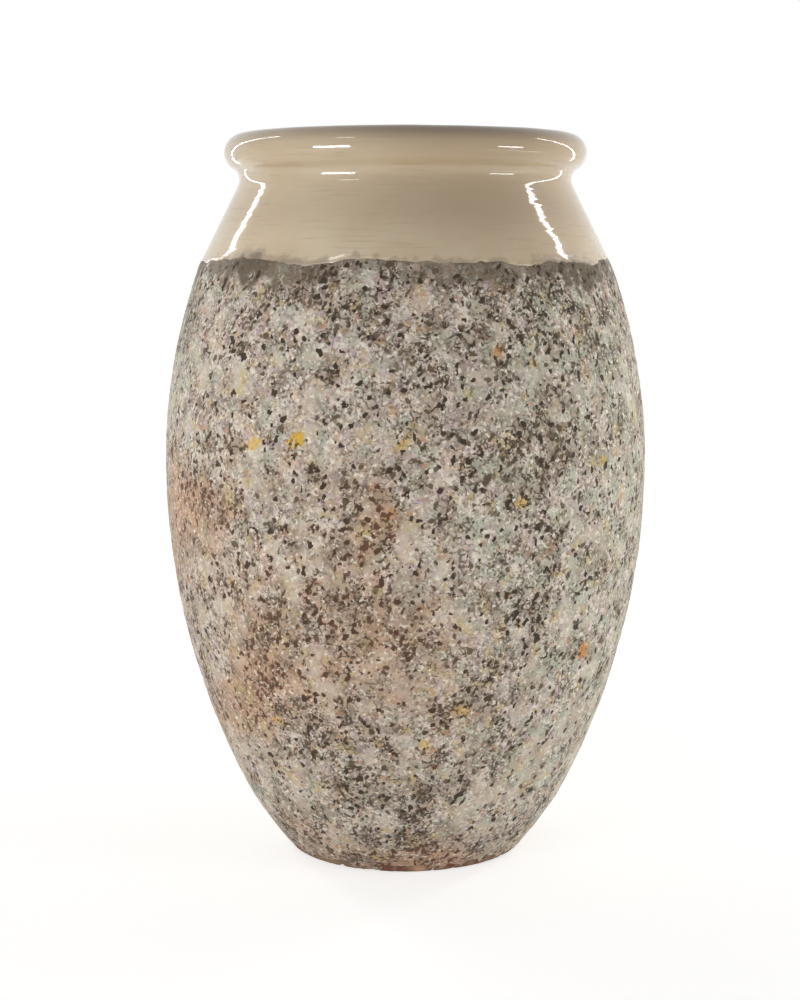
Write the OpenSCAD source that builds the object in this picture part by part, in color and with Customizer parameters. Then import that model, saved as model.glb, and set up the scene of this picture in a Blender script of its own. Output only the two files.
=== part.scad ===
// Olive jar: a large thrown terracotta jar with a glazed collar and a lime-crusted body.
// The jar is turned about Z and stands on z = 0. Outlines are drawn as [radius, height].

/* [Overall] */
// Height from the ground to the top of the rim
jar_h = 800; // [680:1:960]
// Radius of the widest part of the belly, over the crust
belly_r = 268.5; // [240:0.5:325]
// Height of the widest part of the belly
belly_z = 436; // [360:1:530]

/* [Foot] */
// Radius of the foot at the ground, before its edge is rounded
foot_r = 130.5; // [105:0.5:150]
// Radius of the wall at the top of the heel
heel_r = 175; // [160:0.5:200]
// Height of the top of the heel, where the foot's curve runs into the belly's
heel_z = 60; // [45:1:80]
// Radius of the heel's curve, from the foot to the top of the heel
heel_arc_r = 462; // [120:1:900]
// Rounding of the foot's lower edge
foot_edge_r = 5; // [2:0.5:8]

/* [Wall] */
// Thickness of the finished wall, measured square to it
wall_t = 20; // [15:0.5:26]
// Thickness of the finished floor
floor_t = 28; // [20:0.5:36]
// Rounding between the floor and the wall, inside
inner_heel_r = 45; // [30:1:55]

/* [Collar and rim] */
// Height of the collar, from the break of the shoulder to the top of the rim
collar_h = 142; // [115:1:175]
// Radius at the break of the shoulder, where the collar starts
shoulder_r = 228; // [205:0.5:245]
// Radius of the mouth
mouth_r = 159; // [130:0.5:185]
// Thickness of the neck under the rim
neck_t = 24.5; // [21:0.5:32]
// Rounding of the neck, from the collar into the rim
neck_round_r = 12; // [8:0.5:20]
// Radius of the rolled rim's section
roll_r = 20.5; // [17:0.5:26]

/* [Coats] */
// Thickness of the glaze and of the lime crust, which finish flush
coat_t = 1.2; // [0.8:0.1:2]
// How far the collar's glaze runs down past the break of the shoulder
glaze_drop = 4; // [2:0.5:12]
// How far the collar's glaze runs down into the mouth, from the top of the rim
lip_glaze_h = 60; // [52:1:80]
// Height of bare clay left at the foot
bare_foot_h = 10; // [9:0.5:20]

/* [Luted joints] */
// Height of the thrown base, up to its joint
base_h = 80; // [72:1:95]
// How far the collar's clay runs down past the break of the shoulder, to its joint
collar_root_h = 20; // [16:1:40]
// Thickness of the slip between two sections
slip_t = 1; // [0.6:0.1:1.6]
// Depth of the V groove scored in a section's top, which takes the next section's tongue
groove_h = 6; // [3:0.5:9]
// Width of the V groove
groove_w = 9; // [6:0.5:11]

/* [Hidden] */
$fn = 180;

// Longer than any outline
reach = 2 * (belly_r + jar_h);
// How far waste runs past the face that it trims
past = 1;
// Thrown sections between the base and the collar
wall_sections = 3;
// How far the outlines on both sides of a break run on past it
break_run = 8;
// Depth by which a rounding crosses what it runs into
round_lap = 0.1;

function unit(v) = v / norm(v);

function turned(v, a) = [v[0] * cos(a) - v[1] * sin(a), v[0] * sin(a) + v[1] * cos(a)];

function backwards(points) = [for (k = [len(points) - 1 : -1 : 0]) points[k]];

// Radius of the outline at height z, on the arc of radius r about c
function arc_at(c, r, z) = c[0] + sqrt(r ^ 2 - (z - c[1]) ^ 2);

// Radius, to a tenth, of the arc that leaves the widest part upright and passes through [r, z]
function belly_arc_r(r, z) = round(5 * ((belly_r - r) ^ 2 + (z - belly_z) ^ 2) / (belly_r - r)) / 10;

// Belly: one arc below the widest part and one above it, up to the break of the shoulder
shoulder_z = jar_h - collar_h;
lower_arc_r = belly_arc_r(heel_r, heel_z);
lower_c = [belly_r - lower_arc_r, belly_z];
upper_arc_r = belly_arc_r(shoulder_r, shoulder_z);
upper_c = [belly_r - upper_arc_r, belly_z];

// Heel: an arc from the foot up to the lower belly, which it meets at a slight break
heel_p = [arc_at(lower_c, lower_arc_r, heel_z), heel_z];
foot_p = [foot_r, 0];
heel_half = norm(heel_p - foot_p) / 2;
heel_c = (heel_p + foot_p) / 2 + sqrt(heel_arc_r ^ 2 - heel_half ^ 2) * turned(unit(heel_p - foot_p), 90);

// Rim: a round roll, whose inner edge is the mouth
roll_c = [mouth_r + roll_r, jar_h - roll_r];

// Neck: a hollow rounding that runs into the roll
neck_x = mouth_r + neck_t + neck_round_r;
roll_gap = roll_r + neck_round_r - round_lap;
neck_c = [neck_x, roll_c[1] - sqrt(roll_gap ^ 2 - (neck_x - roll_c[0]) ^ 2)];

// Collar: a cone from the break of the shoulder, which runs into the neck's rounding
cone_gap = neck_round_r - round_lap;
cone_v = neck_c - [arc_at(upper_c, upper_arc_r, shoulder_z), shoulder_z];
cone_a = atan2(cone_v[1], cone_v[0]) + asin(cone_gap / norm(cone_v));
cone_d = [cos(cone_a), sin(cone_a)];
cone_n = [cone_d[1], -cone_d[0]];

// Points of the collar's cone, drawn in by a depth: at the neck, at height z and at radius r
function cone_top(in) = neck_c - (cone_gap + in) * cone_n;
function cone_at_z(in, z) = cone_top(in) + (z - cone_top(in)[1]) / cone_d[1] * cone_d;
function cone_at_r(in, r) = cone_top(in) + (r - cone_top(in)[0]) / cone_d[0] * cone_d;

// Height where the cone meets the upper belly's arc, both drawn in by a depth
function break_z(in) =
    let (p = cone_top(in), v = p - upper_c, b = v * cone_d)
    let (root = sqrt(max(0, b ^ 2 - v * v + (upper_arc_r - in) ^ 2)))
    let (low_z = p[1] - (b + root) * cone_d[1], high_z = p[1] - (b - root) * cone_d[1])
    abs(low_z - shoulder_z) < abs(high_z - shoulder_z) ? low_z : high_z;

// Whether the collar leans in more than the shoulder below it
collar_leans_in = cone_n[1] > (shoulder_z - belly_z) / upper_arc_r;

// Coats: heights of the glaze's edges
glaze_z = shoulder_z - glaze_drop;
lip_glaze_z = jar_h - lip_glaze_h;

// Luted joints: heights, and radii at the middle of the wall
section_h = (shoulder_z - collar_root_h - base_h) / wall_sections;
wall_joint_z = [for (k = [0 : wall_sections]) base_h + k * section_h];
joint_z = concat(wall_joint_z, neck_c[1]);
function mid_wall_r(z) =
    z < belly_z ? arc_at(lower_c, lower_arc_r - wall_t / 2, z) : arc_at(upper_c, upper_arc_r - wall_t / 2, z);
joint_r = concat([for (z = wall_joint_z) mid_wall_r(z)], mouth_r + neck_t / 2);
top_joint = len(joint_z) - 1;

// Joint line k, raised by dz: level, with a V in the middle of the wall
function joint_line(k, dz) =
    let (r = joint_r[k], z = joint_z[k] + dz)
    [[0, z], [r - groove_w / 2, z], [r, z - groove_h], [r + groove_w / 2, z], [reach, z]];
function level_line(z, from_r = 0) = [[from_r, z], [reach, z]];

// Area between two lines that run outwards from the axis
module band(low, high) {
    polygon(concat(low, backwards(high)));
}

// Waste outside the arc of radius r about c, between two heights, on the side away from the axis
module arc_waste(c, r, low_z, high_z) {
    from_r = max(0, c[0]);
    difference() {
        band(level_line(low_z, from_r), level_line(high_z, from_r));
        translate(c) circle(r);
    }
}

// Waste outside the heel and the lower belly, drawn in by a depth, where the wall leans in above the
// heel, or outside both of their arcs together, where it leans out
module lower_waste(in) {
    if (cross(heel_p - heel_c, heel_p - lower_c) > 0) {
        arc_waste(lower_c, lower_arc_r - in, -past, belly_z);
        arc_waste(heel_c, heel_arc_r - in, -past, heel_z + break_run);
    }
    else
        difference() {
            arc_waste(lower_c, lower_arc_r - in, -past, belly_z);
            intersection() {
                translate(heel_c) circle(heel_arc_r - in);
                band(level_line(-past), level_line(heel_z + break_run));
            }
        }
}

// Waste outside the rounding of the corner between a floor and the arc of radius r about c
module corner_waste(c, r, floor_z, corner_r) {
    inset = corner_r - round_lap;
    corner_c = [arc_at(c, r - inset, floor_z + inset), floor_z + inset];
    translate(corner_c)
        difference() {
            polygon(2 * corner_r * [[0, 0], [0, -1], [1, -1], unit(corner_c - c)]);
            circle(corner_r);
        }
}

// Area inside the collar's cone, the neck and the rim, drawn in by a depth, down past the break
module collar_area(in) {
    low_z = break_z(in) - 2 * break_run;
    polygon([[0, low_z], cone_at_z(in, low_z), cone_at_z(in, neck_c[1]), [0, neck_c[1]]]);
    translate(roll_c) circle(roll_r - in);
    difference() {
        polygon([cone_top(in + neck_t), neck_c, roll_c, [0, roll_c[1]], [0, cone_top(in + neck_t)[1]]]);
        translate(neck_c) circle(neck_round_r + in);
    }
}

// Area inside the collar's inner cone and the mouth, down past the break
module throat_area(in, throat_r) {
    low_z = break_z(in) - 2 * break_run;
    polygon([[0, low_z], cone_at_z(in, low_z), cone_at_r(in, throat_r),
             [throat_r, roll_c[1]], [0, roll_c[1]]]);
}

// Belly, drawn in by a depth, and what stands on it, the first child. The second child is the belly's
// waste below its widest part. A break that stands out is trimmed by both outlines, and one that lies in
// fills both.
module on_the_belly(in, floor_z) {
    meet_z = break_z(in);
    if (collar_leans_in)
        difference() {
            union() {
                children(0);
                band(level_line(floor_z), level_line(meet_z - break_run));
            }
            arc_waste(upper_c, upper_arc_r - in, belly_z, meet_z + break_run);
            children(1);
        }
    else {
        children(0);
        difference() {
            band(level_line(floor_z), level_line(meet_z + break_run));
            arc_waste(upper_c, upper_arc_r - in, belly_z, meet_z + break_run + past);
            children(1);
        }
    }
}

// Area inside the jar's outside face, drawn in by a depth
module outside_area(in) {
    on_the_belly(in, 0) {
        collar_area(in);
        union() {
            lower_waste(in);
            corner_waste(heel_c, heel_arc_r - in, 0, foot_edge_r);
        }
    }
}

// Area of the jar's hollow, widened by a depth
module hollow_area(out) {
    in = wall_t - out;
    floor_z = floor_t - out;
    on_the_belly(in, floor_z) {
        throat_area(in, mouth_r + out);
        union() {
            arc_waste(lower_c, lower_arc_r - in, floor_z - past, belly_z);
            corner_waste(lower_c, lower_arc_r - in, floor_z, inner_heel_r + out);
        }
    }
}

// Clay between the two coats
module clay_area() {
    difference() {
        outside_area(coat_t);
        hollow_area(coat_t);
    }
}

// Coat on the outside face
module outside_coat_area() {
    difference() {
        outside_area(0);
        outside_area(coat_t);
    }
}

// Coat on the inside face
module inside_coat_area() {
    difference() {
        hollow_area(coat_t);
        hollow_area(0);
    }
}

// Clay section between two lines
module clay_section(low, high) {
    rotate_extrude()
        intersection() {
            clay_area();
            band(low, high);
        }
}

// Clay section between joint k and the next, less half the slip at each
module wall_section(k) {
    clay_section(joint_line(k, slip_t / 2), joint_line(k + 1, -slip_t / 2));
}

module base_dish() {
    color("#a8664a") clay_section(level_line(-past), joint_line(0, -slip_t / 2));
}

module lower_wall() {
    color("#b06e50") wall_section(0);
}

module belly_wall() {
    color("#b57456") wall_section(1);
}

module shoulder_wall() {
    color("#ba7a5c") wall_section(2);
}

module collar() {
    color("#bf8062") wall_section(wall_sections);
}

module rim_roll() {
    color("#c48668") clay_section(joint_line(top_joint, slip_t / 2), level_line(jar_h + past));
}

// One ring of slip in every joint
module luting_slip() {
    color("#8d5a44")
        for (k = [0 : top_joint])
            clay_section(joint_line(k, -slip_t / 2), joint_line(k, slip_t / 2));
}

// Cream glaze from just below the shoulder's break, over the rim and into the mouth
module collar_glaze() {
    color("#cdbc9e")
        rotate_extrude() {
            intersection() {
                outside_coat_area();
                band(level_line(glaze_z), level_line(jar_h + past));
            }
            intersection() {
                inside_coat_area();
                band(level_line(lip_glaze_z), level_line(jar_h + past));
            }
        }
}

// Glaze lining, which keeps the oil in
module inner_glaze() {
    color("#b98f4f")
        rotate_extrude()
            intersection() {
                inside_coat_area();
                band(level_line(-past), level_line(lip_glaze_z));
            }
}

// Lime and lichen crust, from above the bare foot up to the glaze
module patina_crust() {
    color("#b3ad9c")
        rotate_extrude()
            intersection() {
                outside_coat_area();
                band(level_line(bare_foot_h), level_line(glaze_z));
            }
}

base_dish();
lower_wall();
belly_wall();
shoulder_wall();
collar();
rim_roll();
luting_slip();
collar_glaze();
inner_glaze();
patina_crust();
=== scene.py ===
import math

import bpy
import mathutils
import numpy as np
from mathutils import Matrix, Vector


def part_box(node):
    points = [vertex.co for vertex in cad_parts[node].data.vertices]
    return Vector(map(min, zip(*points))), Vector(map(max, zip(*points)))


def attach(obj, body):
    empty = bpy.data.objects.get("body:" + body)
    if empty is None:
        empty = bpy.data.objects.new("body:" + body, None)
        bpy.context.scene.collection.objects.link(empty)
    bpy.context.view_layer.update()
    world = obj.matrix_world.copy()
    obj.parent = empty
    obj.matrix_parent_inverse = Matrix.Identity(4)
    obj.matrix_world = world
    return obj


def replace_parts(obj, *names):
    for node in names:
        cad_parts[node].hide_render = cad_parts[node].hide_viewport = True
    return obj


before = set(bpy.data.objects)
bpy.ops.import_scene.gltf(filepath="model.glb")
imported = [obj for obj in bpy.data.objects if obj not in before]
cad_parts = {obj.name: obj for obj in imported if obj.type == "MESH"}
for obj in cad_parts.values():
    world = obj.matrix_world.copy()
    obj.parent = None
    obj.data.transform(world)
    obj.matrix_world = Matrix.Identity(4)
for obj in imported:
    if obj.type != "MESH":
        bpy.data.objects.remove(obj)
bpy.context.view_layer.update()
mm = 0.001  # the script works in metres

# Outline of the jar, turned about Z, as radius and height
jar = {
    "bellyZ": 0.436,  # height of the widest part
    "shoulderR": 0.228,  # break of the shoulder, where the collar starts
    "shoulderZ": 0.658,
    "heelR": 0.175,  # top of the heel
    "heelZ": 0.060,
    "heelArcR": 0.462,
    "footR": 0.1305,  # foot on the ground
    "footEdgeR": 0.005,
    "wallT": 0.020,
    "floorT": 0.028,
    "innerHeelR": 0.045,  # rounding between the floor and the wall
    "mouthR": 0.159,
    "neckT": 0.0245,
    "neckRoundR": 0.012,  # hollow under the rim
    "neckFlareR": 0.017,  # slower curve from the neck out into the collar
    "rollR": 0.0205,  # section of the rolled rim
}
crustLow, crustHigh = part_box("patina_crust")
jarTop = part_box("collar_glaze")[1].z
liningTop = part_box("inner_glaze")[1].z
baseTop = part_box("base_dish")[1].z
bellyR = crustHigh.x


def linear(hexColour):  # sRGB hex to linear RGBA
    channels = [int(hexColour[k:k + 2], 16) / 255 for k in (1, 3, 5)]
    return [c / 12.92 if c <= 0.04045 else ((c + 0.055) / 1.055) ** 2.4 for c in channels] + [1.0]


# Noise, worked out on whole arrays of points


def hashed(cells, seed):  # a fixed random number from 0 to 1 for each whole-number cell
    n = cells[..., 0] * 73856093 ^ cells[..., 1] * 19349663 ^ cells[..., 2] * 83492791
    n = (n + seed * 2654435761).astype(np.uint64) & np.uint64(0xffffffff)
    for shift, factor in ((15, 2246822519), (13, 3266489917), (16, 668265263)):
        n = ((n ^ (n >> np.uint64(shift))) * np.uint64(factor)) & np.uint64(0xffffffff)
    return (n ^ (n >> np.uint64(15))).astype(np.float64) / 4294967296


def softNoise(points, size, seed):  # hashed cell corners, blended with a smooth step along each axis
    scaled = points / size
    base = np.floor(scaled).astype(np.int64)
    blend = scaled - base
    blend = blend * blend * (3 - 2 * blend)
    total = 0
    for corner in np.ndindex(2, 2, 2):
        weight = np.prod(np.where(corner, blend, 1 - blend), axis=-1)
        total = total + weight * hashed(base + np.array(corner), seed)
    return total


def layeredNoise(points, size, seed, layers=3):  # soft noise, each layer half the size and weight
    total = sum(softNoise(points, size / 2 ** k, seed + k) / 2 ** k for k in range(layers))
    return total / sum(1 / 2 ** k for k in range(layers))


def swing(points, size, seed, layers=3):  # layered noise stretched to run from -1 to 1
    return 2 * (layeredNoise(points, size, seed, layers) - 0.5)


def nearestSpot(points, size, seed):  # distance to the nearest jittered cell point, and that cell's number
    scaled = points / size
    base = np.floor(scaled).astype(np.int64)
    nearest = np.full(points.shape[:-1], 9.0)
    number = np.zeros(points.shape[:-1])
    for offset in np.ndindex(3, 3, 3):
        cell = base + np.array(offset) - 1
        spot = cell + np.stack([hashed(cell, seed + k) for k in range(3)], axis=-1)
        gap = np.linalg.norm(scaled - spot, axis=-1)
        closer = gap < nearest
        nearest = np.where(closer, gap, nearest)
        number = np.where(closer, hashed(cell, seed + 3), number)
    return nearest * size, number


def smoothStep(value, low, high):  # 0 below low, 1 above high, an S curve between
    t = np.clip((value - low) / (high - low), 0, 1)
    return t * t * (3 - 2 * t)


def bell(offset, half):  # e to the power of minus the squared offset over its half width
    return np.exp(-(offset / half) ** 2)


def turnFrom(az, azDeg):  # the shorter way round from an azimuth, in radians
    return (az - math.radians(azDeg) + np.pi) % (2 * np.pi) - np.pi


def sideBells(az, sides):  # sum of bells of the turn away from each azimuth, in degrees
    return sum(strength * bell(np.degrees(turnFrom(az, azDeg)), halfDeg)
               for azDeg, strength, halfDeg in sides)


def patchField(az, z, radius, patches):  # sum of soft ovals, each a bell round the jar times a bell up it
    return sum(strength * bell(turnFrom(az, azDeg) * radius, halfW) * bell(z - height, halfH)
               for azDeg, height, halfW, halfH, strength in patches)


# Outlines


def arcThrough(r, z):  # radius of the arc that leaves the belly upright and passes through a point
    return ((bellyR - r) ** 2 + (z - jar["bellyZ"]) ** 2) / (2 * (bellyR - r))


def arcPoints(centre, radius, fromDeg, toDeg, count):  # points on an arc, as radius and height
    a = np.radians(np.linspace(fromDeg, toDeg, count))
    return np.stack([centre[0] + radius * np.cos(a), centre[1] + radius * np.sin(a)], axis=-1)


lowerArcR = arcThrough(jar["heelR"], jar["heelZ"])
upperArcR = arcThrough(jar["shoulderR"], jar["shoulderZ"])
heelMid = np.array([jar["heelR"] + jar["footR"], jar["heelZ"]]) / 2
heelHalf = np.array([jar["heelR"] - jar["footR"], jar["heelZ"]]) / 2
heelIn = np.array([-heelHalf[1], heelHalf[0]]) / np.linalg.norm(heelHalf)
heelC = heelMid + heelIn * math.sqrt(jar["heelArcR"] ** 2 - heelHalf @ heelHalf)

rollC = np.array([jar["mouthR"] + jar["rollR"], jarTop - jar["rollR"]])
neckX = jar["mouthR"] + jar["neckT"] + jar["neckRoundR"]
neckDrop = math.sqrt((jar["rollR"] + jar["neckRoundR"]) ** 2 - (neckX - rollC[0]) ** 2)
neckC = np.array([neckX, rollC[1] - neckDrop])
flareC = neckC + [jar["neckFlareR"] - jar["neckRoundR"], 0]
coneRun = flareC - np.array([jar["shoulderR"], jar["shoulderZ"]])
coneTurn = math.asin(jar["neckFlareR"] / np.linalg.norm(coneRun))
coneDeg = math.degrees(math.atan2(coneRun[1], coneRun[0]) + coneTurn)
coneD = np.array([math.cos(math.radians(coneDeg)), math.sin(math.radians(coneDeg))])
coneTop = flareC + jar["neckFlareR"] * np.array([-coneD[1], coneD[0]])
innerTop = coneTop - jar["wallT"] * np.array([coneD[1], -coneD[0]])


def outline(z):
    # radius and outward normal of the body at height z: three arcs about their own centres, then the cone
    onHeel = z < jar["heelZ"]
    arcR = np.where(onHeel, jar["heelArcR"], np.where(z < jar["bellyZ"], lowerArcR, upperArcR))
    centreR = np.where(onHeel, heelC[0], bellyR - arcR)
    rise = z - np.where(onHeel, heelC[1], jar["bellyZ"])
    run = np.sqrt(arcR ** 2 - rise ** 2)
    onCone = z > jar["shoulderZ"]
    cone = jar["shoulderR"] + (z - jar["shoulderZ"]) * coneD[0] / coneD[1]
    return (np.where(onCone, cone, centreR + run), np.where(onCone, coneD[1], run / arcR),
            np.where(onCone, -coneD[0], rise / arcR))


def evenPath(points, count, soften):
    # the path's points set at even steps along it, with corners eased by a running mean of length soften
    fine = 4000
    steps = np.concatenate([[0], np.cumsum(np.linalg.norm(np.diff(points, axis=0), axis=-1))])
    places = np.linspace(0, steps[-1], fine)
    path = np.stack([np.interp(places, steps, points[:, k]) for k in range(2)], axis=-1)
    width = int(soften / steps[-1] * fine) // 2
    padded = np.pad(path, ((width + 1, width), (0, 0)), mode="reflect", reflect_type="odd")
    sums = np.cumsum(padded, axis=0)
    path = (sums[2 * width + 1:] - sums[:-2 * width - 1]) / (2 * width + 1)
    return path[np.linspace(0, fine - 1, count).astype(int)]


def pathNormals(path):  # unit normals on the right of the path
    along = np.gradient(path, axis=0)
    normals = np.stack([along[:, 1], -along[:, 0]], axis=-1)
    return normals / np.linalg.norm(normals, axis=-1, keepdims=True)


# Meshes

mapEdge = 0.003  # margin round each band of a map


def azimuths(cols):  # even steps round the jar, as one row
    return np.linspace(0, 2 * np.pi, cols, endpoint=False)[None, :]


def turnedPoints(radius, height, az):  # azimuth 0 faces the camera, and grows to its right
    return np.stack([radius * np.sin(az), -radius * np.cos(az), height + 0 * az], axis=-1)


def raisedPath(path, relief):  # radius and height of a path's points, moved along its normals by the relief
    normals = pathNormals(path)
    return path[:, :1] + normals[:, :1] * relief, path[:, 1:] + normals[:, 1:] * relief


def bandMap(spans, cols, bands):
    # map of each quad's corners: the grid's columns cut into bands, which are stacked to fill the square
    row = np.arange(spans)[:, None]
    col = np.arange(cols)[None, :]
    band = (col * bands) // cols
    across = (col * bands / cols - band) * np.ones_like(row)
    up = row / spans * np.ones_like(col)
    corners = []
    for right, above in ((0, 0), (1, 0), (1, 1), (0, 1)):
        u = mapEdge + (1 - 2 * mapEdge) * (across + right * bands / cols)
        v = (band + mapEdge * bands + (1 - 2 * mapEdge * bands) * (up + above / spans)) / bands
        corners.append(np.stack([u, v], axis=-1))
    return np.stack(corners, axis=2).reshape(-1, 2)


def gridMesh(name, points, material, fields=None, bands=1, closeRows=False, poles=(), folds=()):
    # a grid of rows by columns whose columns close round the axis, as quads, with fans at its poles
    rows, cols = points.shape[:2]
    spans = rows if closeRows else rows - 1
    row = np.arange(spans)[:, None]
    col = np.arange(cols)[None, :]
    here, after = row * cols, (row + 1) % rows * cols
    nextCol = (col + 1) % cols
    quads = np.stack([here + col, here + nextCol, after + nextCol, after + col], axis=-1).reshape(-1, 4)
    vertices = points.reshape(-1, 3)
    triangles = np.zeros((0, 3), int)
    for edgeRow in poles:
        first = edgeRow % rows * cols
        ring = first + np.concatenate([col, nextCol]).T
        ring = ring[:, ::-1] if first == 0 else ring
        triangles = np.vstack([triangles, np.column_stack([ring, np.full(cols, len(vertices))])])
        vertices = np.vstack([vertices, vertices[first:first + cols].mean(0)])
    mesh = bpy.data.meshes.new(name)
    mesh.vertices.add(len(vertices))
    mesh.vertices.foreach_set("co", vertices.astype(np.float32).ravel())
    corners = np.concatenate([quads.ravel(), triangles.ravel()])
    mesh.loops.add(len(corners))
    mesh.loops.foreach_set("vertex_index", corners.astype(np.int32))
    sizes = np.concatenate([np.full(len(quads), 4), np.full(len(triangles), 3)])
    mesh.polygons.add(len(sizes))
    mesh.polygons.foreach_set("loop_start", np.concatenate([[0], np.cumsum(sizes)[:-1]]).astype(np.int32))
    uvMap = mesh.uv_layers.new(name="OFBake")
    fanMap = np.tile([[0.0, 0.0], [mapEdge, 0.0], [0.0, mapEdge]], (len(triangles), 1))
    cornerMap = np.vstack([bandMap(spans, cols, bands), fanMap])
    uvMap.uv.foreach_set("vector", cornerMap.astype(np.float32).ravel())
    mesh.update(calc_edges=True)
    mesh.validate()
    for label, values in (fields or {}).items():
        values = np.concatenate([values.ravel(), np.zeros(len(vertices) - values.size)])
        mesh.attributes.new(label, "FLOAT", "POINT").data.foreach_set("value", values.astype(np.float32))
    if folds:  # rows where the surface turns sharply
        ends = np.empty(len(mesh.edges) * 2, np.int32)
        mesh.edges.foreach_get("vertices", ends)
        ends = ends.reshape(-1, 2) // cols
        sharp = (ends[:, 0] == ends[:, 1]) & np.isin(ends[:, 0], folds)
        mesh.attributes.new("sharp_edge", "BOOLEAN", "EDGE").data.foreach_set("value", sharp)
    mesh.materials.append(material)
    piece = bpy.data.objects.new(name, mesh)
    bpy.context.scene.collection.objects.link(piece)
    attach(piece, "root")
    return piece


# Materials


def addNode(tree, kind, settings, inputs):  # one shader node, with its settings, fixed values and links
    node = tree.nodes.new("ShaderNode" + kind)
    for label, value in settings.items():
        setattr(node, label, value)
    for socket, value in inputs.items():
        if isinstance(value, bpy.types.NodeSocket):
            tree.links.new(value, node.inputs[socket])
        else:
            node.inputs[socket].default_value = value
    return node.outputs


def newMaterial(name):  # an empty material with its output, and Object coordinates
    material = bpy.data.materials.new(name)
    material.use_nodes = True
    tree = material.node_tree
    tree.nodes.clear()
    out = tree.nodes.new("ShaderNodeOutputMaterial")
    place = addNode(tree, "TexCoord", {}, {})["Object"]
    return material, tree, out, place


def noiseMask(tree, place, size, start, end, detail=3.0, top=1.0):
    # noise of a real size, 0 at the start level and top at the end level, with an S curve between
    noise = addNode(tree, "TexNoise", {}, {"Vector": place, "Scale": 1 / size, "Detail": detail})
    return addNode(tree, "MapRange", {"interpolation_type": "SMOOTHSTEP"},
                   {"Value": noise[0], "From Min": start, "From Max": end, "To Max": top})[0]


def layeredColour(tree, look, ground, layers):  # paints each named colour over the last where its mask is
    colour = linear(look[ground])
    for mask, over in layers:
        colour = addNode(tree, "Mix", {"data_type": "RGBA"}, {0: mask, 6: colour, 7: linear(look[over])})[2]
    return colour


def shadedSurface(tree, out, height, strength, depth, inputs):  # one shader over a bump of a real depth
    bump = addNode(tree, "Bump", {}, {"Height": height, "Strength": strength, "Distance": depth})[0]
    shader = addNode(tree, "BsdfPrincipled", {}, {"Normal": bump, **inputs})[0]
    tree.links.new(shader, out.inputs["Surface"])


crustFinish = {
    "lime": "#dad0c7",  # grey-cream lime
    "chip": "#e3d8c6",  # its paler and darker grains
    "shade": "#988773",
    "warm": "#d2b594",
    "lavender": "#c0a8b0",
    "green": "#b4b9a6",
    "clay": "#c7a184",  # clay showing through
    "stain": "#76644f",  # crowded and calm places
    "pale": "#d2c5b1",
    "ochre": "#c6b077",
    "rust": "#ba815a",
    "mottle": "#6b5945",
    # pale crumbs, raised a little in the bump, painted lighter as a highlight on the relief
    "crumbHighlight": "#f0e8d9",
    "lichen": "#d9b040",
    "orange": "#d08a3a",
    "small": "#4e4033",
    "stroke": "#4c3f31",
    "fringe": "#615543",  # grime along the glaze
    "brownPit": "#625241",
    "darkPit": "#3b3128",
    "rustPit": "#6b4836",
    "wobbleSize": 6 * mm,
    "wobble": 5 * mm,  # how far the patterns are pushed about
    "chipCell": 3.8 * mm,
    "smallCell": 4.5 * mm,
    "strokeSize": 7 * mm,
    "raggedSize": 2.8 * mm,
    "ragged": 0.9,
    "gritSize": 1.5 * mm,
    "gritDepth": 0.5 * mm,
    "roughness": 0.9,
    "dust": 0.18,  # pale haze at glancing angles
    "stored": ("pit", "pitAge", "crowd", "clay", "tint", "fringe", "lichen", "orange"),
    "noise": {  # whether it is pushed about, size, start level, end level, detail, strength
        "cloud": (False, 30 * mm, 0.42, 0.68, 7.0, 0.6),
        "violet": (False, 11 * mm, 0.53, 0.68, 1.0, 0.65),
        "broken": (False, 12 * mm, 0.42, 0.56, 2.0, 1.0),
        "ochre": (True, 17 * mm, 0.56, 0.70, 3.0, 0.6),
        "rust": (True, 14 * mm, 0.585, 0.72, 3.0, 0.6),
        "mottle": (True, 13 * mm, 0.50, 0.64, 4.0, 0.62),
        "crumbHighlight": (True, 4.2 * mm, 0.56, 0.68, 2.0, 0.8),
    },
    "cuts": {  # what is cut, start level, end level, strength, way between
        "green": ("tint", 0.15, 1.0, 0.75, "LINEAR"),
        "warm": ("tint", -0.1, -0.9, 0.65, "LINEAR"),
        "chip": ("chips", 0.40, 0.75, 0.75, "LINEAR"),
        "chipShade": ("chips", 0.55, 0.25, 0.7, "LINEAR"),
        "stain": ("crowd", 0.55, 1.05, 0.34, "SMOOTHSTEP"),
        "pale": ("crowd", 0.40, 0.0, 0.5, "SMOOTHSTEP"),
        "small": ("cells", 0.40, 0.20, 1.0, "SMOOTHSTEP"),
        "stroke": ("ridge", 0.68, 0.86, 1.0, "SMOOTHSTEP"),
        "pitted": ("depth", 0.26, 0.62, 0.92, "SMOOTHSTEP"),
        "core": ("depth", 0.40, 0.74, 0.95, "SMOOTHSTEP"),
        "old": ("pitAge", 0.25, 0.50, 1.0, "LINEAR"),
    },
    "products": [  # a mask, and the two that it is the product of
        ("mottle", "mottle", "crowd"), ("small", "small", "crowd"), ("stroke", "stroke", "broken"),
        ("stroke", "stroke", "crowd"), ("dark", "core", "old"), ("rusty", "pitted", "clay"),
    ],
    "layers": [  # mask and colour, from the ground up
        ("chip", "chip"), ("chipShade", "shade"), ("warm", "warm"), ("violet", "lavender"),
        ("green", "green"), ("clay", "clay"), ("cloud", "shade"), ("stain", "stain"), ("pale", "pale"),
        ("ochre", "ochre"), ("rust", "rust"), ("mottle", "mottle"), ("crumbHighlight", "crumbHighlight"),
        ("lichen", "lichen"), ("orange", "orange"), ("small", "small"), ("stroke", "stroke"),
        ("fringe", "fringe"), ("pitted", "brownPit"), ("dark", "darkPit"), ("rusty", "rustPit"),
    ],
}


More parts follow.
